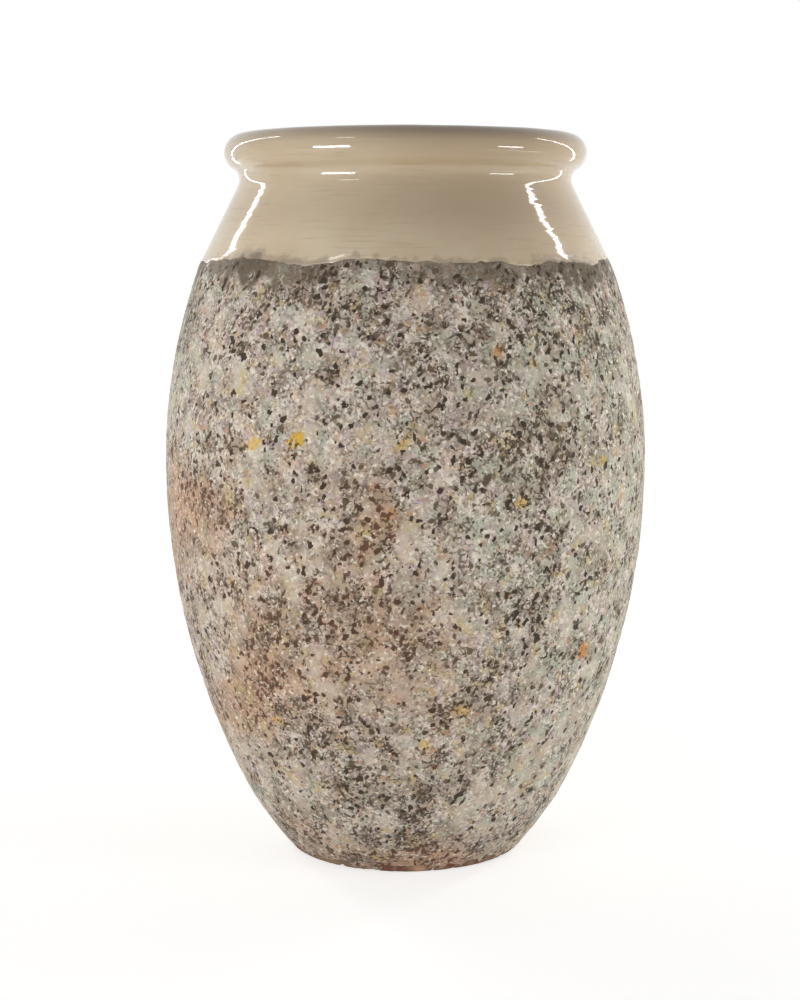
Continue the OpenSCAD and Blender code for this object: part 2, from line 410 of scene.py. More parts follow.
def limeCrustMaterial():
    # lime bloom and lichen weathered on to low-fired clay: dry, pitted and matt, freckled with dark pits
    material, tree, out, place = newMaterial("weathered_lime_crust")
    look = crustFinish
    mask = {label: addNode(tree, "Attribute", {"attribute_name": label}, {})["Fac"]
            for label in look["stored"]}
    wobble = addNode(tree, "TexNoise", {},
                     {"Vector": place, "Scale": 1 / look["wobbleSize"], "Detail": 2.0})["Color"]
    bent = addNode(tree, "VectorMath", {"operation": "MULTIPLY_ADD"},
                   {0: wobble, 1: (look["wobble"],) * 3, 2: place})[0]
    for label, size, output in (("chips", "chipCell", "Color"), ("cells", "smallCell", "Distance")):
        mask[label] = addNode(tree, "TexVoronoi", {}, {"Vector": bent, "Scale": 1 / look[size]})[output]
    mask["ridge"] = addNode(tree, "TexNoise", {"noise_type": "RIDGED_MULTIFRACTAL"}, {
        "Vector": bent, "Scale": 1 / look["strokeSize"], "Detail": 0.0, "Offset": 1.0, "Gain": 1.0})[0]
    ragged = addNode(tree, "TexNoise", {},
                     {"Vector": place, "Scale": 1 / look["raggedSize"], "Detail": 2.0})[0]
    mask["depth"] = addNode(tree, "Math", {"operation": "MULTIPLY_ADD"},
                            {0: ragged, 1: look["ragged"], 2: mask["pit"]})[0]
    for label, (pushed, *levels) in look["noise"].items():
        mask[label] = noiseMask(tree, bent if pushed else place, *levels)
    for label, (source, start, end, top, way) in look["cuts"].items():
        mask[label] = addNode(tree, "MapRange", {"interpolation_type": way}, {
            "Value": mask[source], "From Min": start, "From Max": end, "To Max": top})[0]
    for label, first, second in look["products"]:
        mask[label] = addNode(tree, "Math", {"operation": "MULTIPLY"}, {0: mask[first], 1: mask[second]})[0]
    layers = [(mask[label], over) for label, over in look["layers"]]
    grit = addNode(tree, "TexNoise", {}, {"Vector": place, "Scale": 1 / look["gritSize"], "Detail": 3.0})[0]
    # the pale crumbs, painted as highlights, are also raised a little
    height = addNode(tree, "Math", {"operation": "MULTIPLY_ADD"}, {0: mask["crumbHighlight"], 1: 0.9, 2: grit})[0]
    shadedSurface(tree, out, height, 0.7, look["gritDepth"], {
        "Base Color": layeredColour(tree, look, "lime", layers), "Roughness": look["roughness"],
        "Specular IOR Level": 0.3, "Sheen Weight": look["dust"], "Sheen Roughness": 0.5})
    return material


glazeFinish = {
    "cream": "#d4c2a5",
    "warmCream": "#cdb899",
    "line": "#a69071",  # thrown lines, where the glaze runs thin; also the colour of the thin glaze and painted shade up the cone and on the rim
    "topShade": "#7d684e",  # painted shade on the rim's top, where little light falls from above
    "dirt": "#7b6d5b",
    "blotchSize": 80 * mm,
    "lineSize": 3.0 * mm,
    "lineStretch": (0.06, 0.06, 1.0),  # drawn out round the jar
    "ridgeDepth": 0.5 * mm,
    "roughness": 0.06,
    "dirtRoughness": 0.75,
}


def creamGlazeMaterial():
    # lead glaze over thrown clay: glossy and cream, with fine lines where it ran off the throwing ridges
    material, tree, out, place = newMaterial("glossy_cream_glaze")
    look = glazeFinish
    kept = {label: addNode(tree, "Attribute", {"attribute_name": label}, {})["Fac"]
            for label in ("dirt", "thinAndShade", "topShade")}
    flat = addNode(tree, "Mapping", {}, {"Vector": place, "Scale": look["lineStretch"]})[0]
    blotch = noiseMask(tree, place, look["blotchSize"], 0.40, 0.64)
    line = noiseMask(tree, flat, look["lineSize"], 0.50, 0.74, 4.0, 0.35)
    # the thin band carries thin glaze and painted shade; the rim's top layer is painted shade
    layers = [(blotch, "warmCream"), (line, "line"), (kept["thinAndShade"], "line"), (kept["topShade"], "topShade"),
              (kept["dirt"], "dirt")]
    roughness = addNode(tree, "MapRange", {}, {
        "Value": kept["dirt"], "From Min": 0.25,
        "To Min": look["roughness"], "To Max": look["dirtRoughness"]})[0]
    ridge = addNode(tree, "TexNoise", {}, {"Vector": flat, "Scale": 1 / look["lineSize"], "Detail": 3.0})[0]
    shadedSurface(tree, out, ridge, 0.08, look["ridgeDepth"], {
        "Base Color": layeredColour(tree, look, "cream", layers), "Roughness": roughness, "IOR": 1.6})
    return material


liningFinish = {"honey": "#a07c4f", "brown": "#7d5934", "blotchSize": 60 * mm, "waveSize": 9 * mm,
                "waveDepth": 1.0 * mm, "roughness": 0.22}


def liningGlazeMaterial():
    # honey lead glaze poured round the inside: uneven, glossy and darker where it pooled
    material, tree, out, place = newMaterial("poured_honey_glaze")
    look = liningFinish
    pool = noiseMask(tree, place, look["blotchSize"], 0.40, 0.66)
    wave = addNode(tree, "TexNoise", {}, {"Vector": place, "Scale": 1 / look["waveSize"], "Detail": 2.0})[0]
    shadedSurface(tree, out, wave, 0.15, look["waveDepth"], {
        "Base Color": layeredColour(tree, look, "honey", [(pool, "brown")]),
        "Roughness": look["roughness"], "IOR": 1.6})
    return material


clayFinish = {"red": "#7a5040", "slip": "#8d5a44", "pale": "#bd967a", "dark": "#5f4234", "grime": "#8a7963",
              "blotchSize": 35 * mm, "grainSize": 2.0 * mm, "grainDepth": 0.6 * mm, "roughness": 0.9}


def terracottaMaterial(name, ground):
    # thrown red earthenware, fired bare: matt and grainy, with pale scuffs and dark grog
    material, tree, out, place = newMaterial(name)
    look = clayFinish
    scuff = noiseMask(tree, place, look["blotchSize"], 0.50, 0.72)
    grog = noiseMask(tree, place, look["grainSize"], 0.62, 0.72, 2.0)
    grime = addNode(tree, "Attribute", {"attribute_name": "grime"}, {})["Fac"]
    layers = [(scuff, "pale"), (grime, "grime"), (grog, "dark")]
    grain = addNode(tree, "TexNoise", {},
                    {"Vector": place, "Scale": 1 / look["grainSize"], "Detail": 4.0})[0]
    shadedSurface(tree, out, grain, 0.5, look["grainDepth"], {
        "Base Color": layeredColour(tree, look, ground, layers), "Roughness": look["roughness"],
        "Specular IOR Level": 0.3})
    return material


terracotta = terracottaMaterial("bare_terracotta", "red")
luting = terracottaMaterial("fired_slip", "slip")
for label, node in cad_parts.items():
    node.data.materials.clear()
    node.data.materials.append(luting if label == "luting_slip" else terracotta)
print("clay and slip finished on", len(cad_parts), "nodes")


# Edge between the glaze and the crust

glazeEdge = {"lift": 7 * mm, "wave": 2.5 * mm, "ripple": 2.2 * mm, "waveSize": 0.075, "rippleSize": 0.011}

# Waves of the edge: azimuth in degrees, rise, half width in degrees
edgeWaves = [
    (-50, 2 * mm, 7), (-27, -4 * mm, 8), (-8, 5 * mm, 9), (33, -4 * mm, 5), (44, 2 * mm, 5),
    (60, -4 * mm, 7), (95, 4 * mm, 12), (140, -4 * mm, 14), (175, 4 * mm, 10),
    (-150, -4 * mm, 12), (-110, 4 * mm, 12),
]

# Sides where dirt gathered at the edge: azimuth in degrees, strength, half width in degrees
grimeSides = [
    (-44, 1.0, 13), (-22, 0.4, 7), (20, 0.5, 12), (50, 1.0, 14), (120, 0.8, 25), (-160, 0.7, 25),
    (-100, 0.8, 18),
]


def glazeLine(az):  # height of the glaze's lower edge: a level, bell-shaped waves, long and short noise
    ring = turnedPoints(np.full_like(az, jar["shoulderR"]), 0.0, az)
    long = glazeEdge["wave"] * swing(ring, glazeEdge["waveSize"], 31, 1)
    short = glazeEdge["ripple"] * swing(ring, glazeEdge["rippleSize"], 32, 2)
    return crustHigh.z + glazeEdge["lift"] + sideBells(az, edgeWaves) + long + short


# Lime crust

crust = {
    "cols": 1056,
    "rings": 6,
    "rows": 74,  # outer rows of a ring
    "innerRows": 4,
    "footDrop": 0.008,  # how far its ragged edge runs down the foot
    "footSize": 0.016,
    "under": 0.010,  # how far it runs up under the glaze
    "tuck": 3.0 * mm,  # depth of its hidden inner face
    "sink": 0.9 * mm,  # depth of its face under the glaze
    "swell": 0.7 * mm,  # slow unevenness
    "swellSize": 0.040,
    "lump": 0.6 * mm,
    "lumpSize": 0.009,
    "growth": 0.5 * mm,  # thickness of the lichen
    "lowest": -0.95 * mm,
    "highest": 1.5 * mm,
    "pit": 0.75 * mm,
    "pitCell": 4.9 * mm,
    "pitR": 3.25 * mm,
    "pitBend": 6 * mm,
    "pitEdge": 3 * mm,
    "pitted": 0.52,  # share of the cells that have a pit
    "cluster": 1.35,
    "clusterSize": 0.019,
    "warp": 0.030,  # how far the patches' outlines wander
    "warpSize": 0.045,
    "cloudSize": 0.070,
    "cloud": 0.4,
    "claySize": 0.014,
    "streakSize": 0.008,
    "footBareH": 0.028,
    "tint": 1.6,
    "tintSize": 0.014,
    "spotSize": 0.007,
    "fringeH": 0.023,
    "fringeSize": 0.012,
}

# Patches: azimuth in degrees, height, half width, half height, strength
clayPatches = [
    (-66, 0.405, 0.070, 0.055, 0.95), (-50, 0.390, 0.040, 0.050, 0.5), (-39, 0.250, 0.045, 0.045, 0.8),
    (-50, 0.185, 0.055, 0.040, 0.8), (-72, 0.335, 0.050, 0.035, 0.6), (-70, 0.160, 0.050, 0.040, 0.6),
    (-6, 0.410, 0.030, 0.045, 0.6), (0, 0.265, 0.060, 0.075, 0.45), (-20, 0.300, 0.110, 0.130, 0.42),
    (6, 0.022, 0.065, 0.016, 0.9), (-40, 0.040, 0.050, 0.030, 0.5), (150, 0.300, 0.070, 0.080, 0.9),
    (-128, 0.440, 0.060, 0.060, 0.8), (105, 0.380, 0.050, 0.060, 0.6), (-165, 0.190, 0.060, 0.050, 0.8),
    (178, 0.480, 0.045, 0.050, 0.6), (-100, 0.250, 0.060, 0.090, 0.5),
]
darkPatches = [
    (42, 0.630, 0.080, 0.028, 0.6), (38, 0.585, 0.070, 0.035, 0.5), (12, 0.575, 0.060, 0.030, 0.35),
    (-38, 0.640, 0.055, 0.016, 0.6), (-30, 0.590, 0.110, 0.040, 0.55), (30, 0.475, 0.045, 0.030, 0.5),
    (24, 0.435, 0.030, 0.035, 0.6), (-55, 0.395, 0.040, 0.030, 0.2), (33, 0.320, 0.035, 0.035, 0.7),
    (-14, 0.320, 0.050, 0.022, 0.4), (-15, 0.535, 0.040, 0.030, 0.6), (5, 0.285, 0.025, 0.035, 0.8),
    (16, 0.240, 0.020, 0.040, 0.25), (-30, 0.190, 0.045, 0.035, 0.4), (6, 0.105, 0.025, 0.050, 1.0),
    (-15, 0.085, 0.030, 0.030, 0.5), (-5, 0.030, 0.080, 0.018, 0.8), (-50, 0.035, 0.030, 0.020, 0.6),
    (120, 0.600, 0.090, 0.040, 0.8), (-140, 0.360, 0.050, 0.070, 0.6), (165, 0.420, 0.040, 0.080, 0.6),
    (-100, 0.600, 0.080, 0.040, 0.7), (140, 0.150, 0.050, 0.050, 0.6), (-160, 0.560, 0.050, 0.040, 0.6),
]
calmPatches = [
    (-58, 0.500, 0.060, 0.030, 0.3), (-36, 0.530, 0.050, 0.030, 0.5), (-28, 0.350, 0.040, 0.035, 0.7),
    (-30, 0.440, 0.040, 0.035, 0.5), (4, 0.435, 0.035, 0.030, 0.7), (38, 0.420, 0.030, 0.030, 0.7),
    (5, 0.340, 0.040, 0.030, 0.5), (45, 0.150, 0.050, 0.060, 0.7), (25, 0.085, 0.030, 0.030, 0.6),
    (22, 0.220, 0.035, 0.040, 0.3), (52, 0.310, 0.040, 0.030, 0.5), (10, 0.520, 0.030, 0.015, 0.5),
    (-40, 0.240, 0.045, 0.040, 0.5), (130, 0.470, 0.050, 0.040, 0.7), (-160, 0.480, 0.050, 0.035, 0.7),
    (-110, 0.330, 0.045, 0.040, 0.7),
]
greyPatches = [
    (66, 0.330, 0.140, 0.340, 1.0), (25, 0.430, 0.060, 0.220, 0.3), (40, 0.560, 0.120, 0.080, 0.4),
    (-74, 0.580, 0.070, 0.110, 1.1), (-130, 0.150, 0.100, 0.120, 0.7), (160, 0.600, 0.100, 0.100, 0.7),
]

# Lichen: azimuth in degrees, height, radius, strength
yellowSpots = [
    (-35, 0.477, 0.0075, 0.7), (-24, 0.484, 0.0080, 0.95), (50, 0.457, 0.006, 0.7), (26, 0.423, 0.008, 0.55),
    (-36, 0.183, 0.006, 0.5), (14, 0.205, 0.008, 0.45), (5, 0.165, 0.006, 0.55), (-1, 0.482, 0.005, 0.4),
    (30, 0.560, 0.006, 0.4), (-17, 0.640, 0.006, 0.4), (-44, 0.330, 0.005, 0.35), (37, 0.300, 0.005, 0.35),
    (135, 0.500, 0.008, 0.9), (-150, 0.430, 0.007, 0.7), (-120, 0.240, 0.007, 0.6), (165, 0.330, 0.006, 0.6),
]
orangeSpots = [
    (49, 0.250, 0.0090, 0.95), (22, 0.575, 0.006, 0.5), (-3, 0.415, 0.005, 0.35), (8, 0.140, 0.005, 0.35),
    (-142, 0.540, 0.007, 0.7), (110, 0.230, 0.007, 0.7),
]


def crustFields(points, az, z, radius):
    # how crowded the pits are, where clay shows and how the lime is tinted: wandering patches and noise;
    # and how deep a point lies in a pit: a ragged disc round the nearest cell point, if that cell has one
    warpedAz = az + crust["warp"] * swing(points, crust["warpSize"], 1) / radius
    warpedZ = z + crust["warp"] * swing(points, crust["warpSize"], 5)
    clouds = layeredNoise(points * [1, 1, 0.6], crust["cloudSize"], 11)
    dark = patchField(warpedAz, warpedZ, radius, darkPatches)
    dark = dark + crust["cloud"] * smoothStep(clouds, 0.52, 0.72)
    calm = patchField(warpedAz, warpedZ, radius, calmPatches)
    calm = calm + crust["cloud"] * smoothStep(clouds, 0.46, 0.30)
    cluster = crust["cluster"] * (layeredNoise(points, crust["clusterSize"], 13, 2) - 0.5)
    crowd = np.clip(crust["pitted"] + 0.5 * dark - 0.5 * calm + cluster, 0.04, 1)
    clay = np.clip(patchField(warpedAz, warpedZ, radius, clayPatches), 0, 1.1)
    clay = clay + 0.35 * swing(points, crust["claySize"], 15)
    streaks = layeredNoise(points * [1, 1, 0.25], crust["streakSize"], 17)
    footBare = smoothStep(z, crustLow.z + crust["footBareH"], crustLow.z) * smoothStep(streaks, 0.42, 0.60)
    clay = np.clip(smoothStep(clay, 0.0, 1.0) + 0.5 * footBare, 0, 1)
    bend = np.stack([softNoise(points, crust["pitBend"], seed) for seed in (22, 23, 24)], axis=-1) - 0.5
    gap, number = nearestSpot((points + crust["pitBend"] * bend) * [1, 1, 0.85], crust["pitCell"], 21)
    chance = (number * 7.31) % 1  # further numbers of the same cell
    pitAge = (number * 3.77) % 1
    held = smoothStep(crowd, chance - 0.1, chance + 0.1)
    reach = crust["pitR"] * (0.30 + 0.95 * number ** 2) * held - 0.5 * crust["pitEdge"] * (1 - held)
    pit = np.clip((reach - gap) / crust["pitEdge"], -1, 1)
    tint = crust["tint"] * swing(points, crust["tintSize"], 41, 2)
    tint = np.clip(tint + patchField(warpedAz, warpedZ, radius, greyPatches), -1, 1)
    return {"crowd": crowd, "clay": clay, "pit": pit, "pitAge": pitAge, "tint": tint}


def spotField(az, z, radius, points, spots):  # ragged round spots, solid inside and broken at the edge
    ragged = 1 + 1.3 * swing(points, crust["spotSize"], 51)
    total = np.zeros_like(z)
    for azDeg, height, size, strength in spots:
        gap = np.hypot(turnFrom(az, azDeg) * radius, z - height)
        total = np.maximum(total, strength * smoothStep(size * ragged - gap, -2.0 * mm, 3.0 * mm))
    return total


def crustRing(ring, material):
    # a turned band of the body's outline: outer rows with relief along the normal, inner rows that close it
    az = azimuths(crust["cols"])
    footRing = turnedPoints(np.full_like(az, jar["footR"]), 0.0, az)
    footEdge = smoothStep(layeredNoise(footRing, crust["footSize"], 63), 0.35, 0.62)
    low = crustLow.z - crust["footDrop"] * footEdge
    top = glazeLine(az) + crust["under"]
    share = np.linspace(ring, ring + 1, crust["rows"])[:, None] / crust["rings"]
    z = low + share * (top - low)
    radius, normalR, normalZ = outline(z)
    points = turnedPoints(radius, z, az)
    fields = crustFields(points, az, z, radius)
    fields["lichen"] = spotField(az, z, radius, points, yellowSpots)
    fields["orange"] = spotField(az, z, radius, points, orangeSpots)
    below = glazeLine(az) - z  # height left up to the glaze
    grimy = sideBells(az, grimeSides)
    ragged = layeredNoise(points, crust["fringeSize"], 61)
    reach = crust["fringeH"] * (2.2 * ragged - 0.5 + 0.5 * grimy)
    fields["fringe"] = smoothStep(reach - below, -0.006, 0.010) * np.clip(0.50 + 0.45 * grimy, 0, 0.95)
    relief = crust["swell"] * swing(points, crust["swellSize"], 71)
    relief = relief + crust["lump"] * swing(points, crust["lumpSize"], 75)
    relief = relief - crust["pit"] * smoothStep(fields["pit"], -0.15, 0.35)
    relief = relief + crust["growth"] * (fields["lichen"] + fields["orange"])
    relief = np.clip(relief, crust["lowest"], crust["highest"])
    sunk = smoothStep(below, 0.5 * mm, -3.0 * mm)  # under the glaze
    relief = relief * (1 - sunk) - crust["sink"] * sunk
    outer = turnedPoints(radius + normalR * relief, z + normalZ * relief, az)
    backShare = np.linspace(ring + 1, ring, crust["innerRows"])[:, None] / crust["rings"]
    backZ = low + backShare * (top - low)
    backR, backNr, backNz = outline(backZ)
    inner = turnedPoints(backR - backNr * crust["tuck"], backZ - backNz * crust["tuck"], az)
    padded = {label: np.concatenate([values * np.ones_like(z), np.zeros(inner.shape[:2])])
              for label, values in fields.items()}
    closed = np.concatenate([outer, inner])
    piece = gridMesh(f"lime_crust_{ring + 1}", closed, material, padded, bands=4,
                     closeRows=True, folds=(0, crust["rows"] - 1))
    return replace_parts(piece, "patina_crust")


crustMaterial = limeCrustMaterial()
for ring in range(crust["rings"]):
    crustRing(ring, crustMaterial)
print("lime crust made in", crust["rings"], "rings")


# Glazed collar and rim

collar = {
    "cols": 720,
    "rows": 134,
    "under": 0.012,  # how far it runs down behind the crust
    "tuck": 2.4 * mm,  # how deep that hidden part lies
    "soften": 5 * mm,
    "outside": 0.4,  # share of the rows that lies outside, below the rim
    "ridge": 0.065 * mm,
    "ridgeStep": 4.5 * mm,
    "wave": 0.35 * mm,  # slow unevenness
    "waveSize": 0.060,
    "bead": 0.15 * mm,  # thick lower edge
    "beadH": 6 * mm,
    "runH": 8 * mm,  # height of the runs above the edge
    "runHalf": 5 * mm,
    "smear": 0.010,
    "smearSize": 0.010,
    "dust": 0.20,  # darker in the neck, just under the rim
    "neckDarkZ": neckC[1] + 5 * mm,
    "neckDarkHalf": 10 * mm,
    "thinShadeZ": 0.722,  # band high on the cone with the most thin glaze and painted shade
    "thinShadeHalf": 0.030,
    "underRimZ": neckC[1] + 9 * mm,  # just under the rim, where less thin glaze and painted shade is laid
    "underRimHalf": 7 * mm,
    "topShadeLow": jarTop - 0.018,  # painted shade on the rim's top
    "topShadeHigh": jarTop - 0.001,
}

# Swellings where the glaze ran and stopped: azimuth in degrees, rise, half width in degrees
runs = [(-17, 0.5 * mm, 5), (70, 0.4 * mm, 6), (128, 0.5 * mm, 6), (-148, 0.5 * mm, 5), (-88, 0.4 * mm, 5)]

# Sides with more thin glaze and painted shade, and less where the strength is below 0; on the front it is
# painted shade, darker on the right where less light falls: azimuth in degrees, strength, half width in
# degrees
thinShadeSides = [(25, 0.45, 28), (-42, -0.20, 30), (130, 0.25, 30), (-120, 0.20, 30)]

# Sides where the painted shade on the rim's top is stronger: azimuth in degrees, strength, half width in
# degrees
topShadeSides = [(22, 1.4, 45), (-160, 1.0, 40)]


def collarPath():
    # the outline from the glaze's edge up the cone, round the neck and the rim, and down the throat
    shoulderZ = np.linspace(crustHigh.z - collar["under"], jar["shoulderZ"], 8)
    shoulder = np.stack([outline(shoulderZ)[0], shoulderZ], axis=-1)
    toRoll = math.degrees(math.atan2(*(rollC - neckC)[::-1]))
    flare = arcPoints(flareC, jar["neckFlareR"], coneDeg + 90, 180, 20)
    neck = arcPoints(neckC, jar["neckRoundR"], 180, toRoll, 40)
    roll = arcPoints(rollC, jar["rollR"], toRoll - 180, 180, 120)
    mouth = np.array([jar["mouthR"], rollC[1]])
    throat = innerTop + coneD * (jar["mouthR"] - innerTop[0]) / coneD[0]
    lip = throat + coneD * (liningTop - throat[1]) / coneD[1]
    path = np.vstack([shoulder, flare, neck, roll, mouth, throat, lip])
    return evenPath(path, collar["rows"], collar["soften"])


def glazeDirtAndShade(points, az, edge, outside):
    # dirt along the lower edge and darker in the neck; thin glaze with painted shade up the cone and on the
    # rim, more on the right and less on the left; painted shade on the rim's top: smooth steps and bells of
    # the height, each more or less on some sides
    z = points[..., 2]
    grimy = sideBells(az, grimeSides)
    smeared = edge + collar["smear"] * swing(points, collar["smearSize"], 88)
    dirt = smoothStep(smeared, 0.005 + 0.008 * grimy, -0.001) * np.clip(0.55 + 0.40 * grimy, 0, 0.95)
    dirt = np.where(outside, dirt, 0) + collar["dust"] * bell(z - collar["neckDarkZ"], collar["neckDarkHalf"])
    # thin glaze with painted shade: darker up the cone and on the rim, more on the right, less just under
    # the rim
    thinAndShade = 0.30 * smoothStep(z, jar["shoulderZ"], collar["thinShadeZ"])
    thinAndShade = thinAndShade + 0.25 * bell(z - collar["thinShadeZ"], collar["thinShadeHalf"])
    thinAndShade = thinAndShade + 0.28 * smoothStep(z, neckC[1], rollC[1])
    thinAndShade = thinAndShade - 0.45 * bell(z - collar["underRimZ"], collar["underRimHalf"])
    thinAndShade = np.clip(thinAndShade + sideBells(az, thinShadeSides), 0, 0.95)
    # painted shade on the rim's top, stronger on some sides
    topShade = 0.36 * smoothStep(z, collar["topShadeLow"], collar["topShadeHigh"]) * (1 + sideBells(az, topShadeSides))
    return {"dirt": dirt, "thinAndShade": thinAndShade, "topShade": topShade}


def collarGlaze(material):
    # the collar's path turned, with throwing ridges, slow waves and a thick lower edge along its normals
    az = azimuths(collar["cols"])
    path = collarPath()
    points = turnedPoints(path[:, :1], path[:, 1:], az)
    row = np.arange(collar["rows"])[:, None]
    rise = row * np.linalg.norm(path[1] - path[0])  # length along the outline
    turn = 0.7 * np.stack([np.sin(az), np.cos(az)], axis=-1) * np.ones_like(rise)[..., None]
    climb = (rise / collar["ridgeStep"] + 0.4 * np.sin(az))[..., None]
    relief = collar["ridge"] * swing(np.concatenate([climb, turn], axis=-1), 1, 81)
    relief = relief + collar["wave"] * swing(points, collar["waveSize"], 85, 2)
    edge = points[..., 2] - glazeLine(az)  # height above the glaze's edge
    outside = row < collar["rows"] * collar["outside"]
    bead = collar["bead"] * bell(edge - collar["beadH"], collar["beadH"])
    bead = bead + sideBells(az, runs) * bell(edge - collar["runH"], collar["runHalf"])
    sunk = np.where(outside, smoothStep(edge, 1.5 * mm, -1.0 * mm), 0)
    relief = (relief + np.where(outside, bead, 0)) * (1 - sunk) - collar["tuck"] * sunk
    radius, height = raisedPath(path, relief)
    piece = gridMesh("glazed_collar", turnedPoints(radius, height, az), material,
                     glazeDirtAndShade(points, az, edge, outside), bands=4)
    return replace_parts(piece, "collar_glaze")


collarGlaze(creamGlazeMaterial())
print("collar glaze made")


# Glazed inside

lining = {"cols": 360, "rows": 170, "wave": 0.5 * mm, "waveSize": 0.050, "soften": 8 * mm, "innerR": 0.004,
          "lap": 1.5 * mm, "coneDrop": 0.006}  # lap over the collar's glaze, and room to turn into the cone


def liningGlaze(material):
    # the inside outline from the mouth's glaze down the wall to the floor, turned, with slow waves
    az = azimuths(lining["cols"])
    inset = jar["wallT"]
    lip = innerTop + coneD * (liningTop + lining["lap"] - innerTop[1]) / coneD[1]
    cornerZ = jar["floorT"] + jar["innerHeelR"]
    cornerDrop = cornerZ - jar["bellyZ"]
    cornerRun = math.sqrt((lowerArcR - inset - jar["innerHeelR"]) ** 2 - cornerDrop ** 2)
    toWall = math.degrees(math.atan2(cornerDrop, cornerRun))
    corner = arcPoints((bellyR - lowerArcR + cornerRun, cornerZ), jar["innerHeelR"], toWall, -90, 30)
    wallZ = np.linspace(jar["shoulderZ"] - lining["coneDrop"], corner[0, 1], 80)
    arcR = np.where(wallZ > jar["bellyZ"], upperArcR, lowerArcR)
    wallR = bellyR - arcR + np.sqrt((arcR - inset) ** 2 - (wallZ - jar["bellyZ"]) ** 2)
    wall = np.stack([wallR, wallZ], axis=-1)
    path = np.vstack([lip, wall, corner, [lining["innerR"], jar["floorT"]]])
    path = evenPath(path, lining["rows"], lining["soften"])
    points = turnedPoints(path[:, :1], path[:, 1:], az)
    relief = lining["wave"] * swing(points * [1, 1, 3], lining["waveSize"], 91)
    radius, height = raisedPath(path, relief)
    piece = gridMesh("glazed_lining", turnedPoints(radius, height, az), material,
                     poles=(-1,))
    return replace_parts(piece, "inner_glaze")


liningGlaze(liningGlazeMaterial())
print("lining glaze made")


# Thrown base

base = {
    "cols": 360,
    "innerR": 0.004,
    "cover": 1.2 * mm,  # room for the crust and the lining
    "lipW": 0.016,  # its top edge, inside the wall
    "floorR": 0.110,
    "wear": 0.6 * mm,  # worn foot
    "wearSize": 0.005,
    "wearH": 0.012,
    "chip": 2.0 * mm,
    "chipSize": 0.010,
    "ring": 0.25 * mm,  # rings under the foot, left by the wheel
    "ringStep": 5 * mm,
    "streakSize": 0.006,
}

# Bare clay on the foot: azimuth in degrees, height, half width, half height, strength
barePatches = [
    (7, 0.008, 0.045, 0.020, 0.9), (-24, 0.008, 0.020, 0.020, 0.5), (30, 0.012, 0.020, 0.020, 0.5),
    (150, 0.008, 0.050, 0.020, 0.9), (-115, 0.008, 0.040, 0.020, 0.7),
]


def basePath():
    # the outline from the underside's middle to the foot's round edge, up the wall and back over the floor
    edgeR = jar["footEdgeR"]
    heelZ = np.linspace(edgeR, baseTop, 50)
    heelR = outline(heelZ)[0] - base["cover"] * smoothStep(heelZ, 0.000, 0.007)
    wall = np.stack([heelR, heelZ], axis=-1)
    edge = arcPoints((heelR[0] - edgeR, edgeR), edgeR, -90, 0, 14)
    under = np.stack([np.linspace(base["innerR"], edge[0, 0], 60), np.zeros(60)], axis=-1)
    lip = np.linspace(wall[-1], [heelR[-1] - base["lipW"], baseTop], 4)
    floorZ = jar["floorT"] - base["cover"]
    return np.vstack([under, edge, wall, lip, [base["floorR"], floorZ], [base["innerR"], floorZ]]), heelR[0]


def thrownBase(material):
    # the base's path turned, with wear and chips round the foot and faint rings under it
    az = azimuths(base["cols"])
    path, footR = basePath()
    points = turnedPoints(path[:, :1], path[:, 1:], az)
    level = path[:, 1:]
    worn = smoothStep(level, base["wearH"], 0.0) * smoothStep(path[:, :1], footR - 0.012, footR - 0.004)
    chips = base["chip"] * smoothStep(layeredNoise(points, base["chipSize"], 101), 0.60, 0.80)
    relief = -worn * (chips + base["wear"] * layeredNoise(points, base["wearSize"], 105))
    underFoot = (level == 0) * smoothStep(path[:, :1], 0.010, 0.020)
    spiral = 0.5 + 0.5 * np.sin(2 * np.pi * path[:, :1] / base["ringStep"] + 1.5 * np.sin(az))
    relief = relief - underFoot * base["ring"] * spiral
    radius, height = raisedPath(path, relief)
    height = np.maximum(height, 0)
    bare = patchField(az, height, np.maximum(radius, 0.05), barePatches)
    streaks = layeredNoise(points * [1, 1, 0.25], base["streakSize"], 107)
    grime = np.clip(0.95 - 0.8 * bare + 2.6 * (streaks - 0.5), 0, 0.95)
    piece = gridMesh("thrown_base", turnedPoints(radius, height, az), material,
                     {"grime": grime}, poles=(0, -1))
    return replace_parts(piece, "base_dish")


thrownBase(terracotta)
print("thrown base made")


# Floor, light and camera

studio = {
    "floorHalf": 30.0,
    "floorColour": "#f2f1ee",
    "shadowShare": 0.75,  # how much of the floor's own shading the camera sees
    "nearGlow": 2.55,  # glow at the near and the far distance from the jar
    "farGlow": 3.3,
    "near": 0.5,
    "far": 2.4,
    "backLight": 1.04,
    "frontLight": 0.535,
    "zenithShare": 0.12,
    "cameraPlace": (0.0, -2.1618, 0.6770),
    "cameraPitch": 7.49,
    "lens": 69.285,  # for 36 mm on the long side
    "shiftX": -0.0054,
}


def seenRays(tree):  # 1 for a ray from the camera, a gloss or a clear surface
    ray = addNode(tree, "LightPath", {}, {})
    seen = ray["Is Camera Ray"]
    for kind in ("Is Glossy Ray", "Is Transmission Ray"):
        seen = addNode(tree, "Math", {"operation": "MAXIMUM"}, {0: seen, 1: ray[kind]})[0]
    return seen


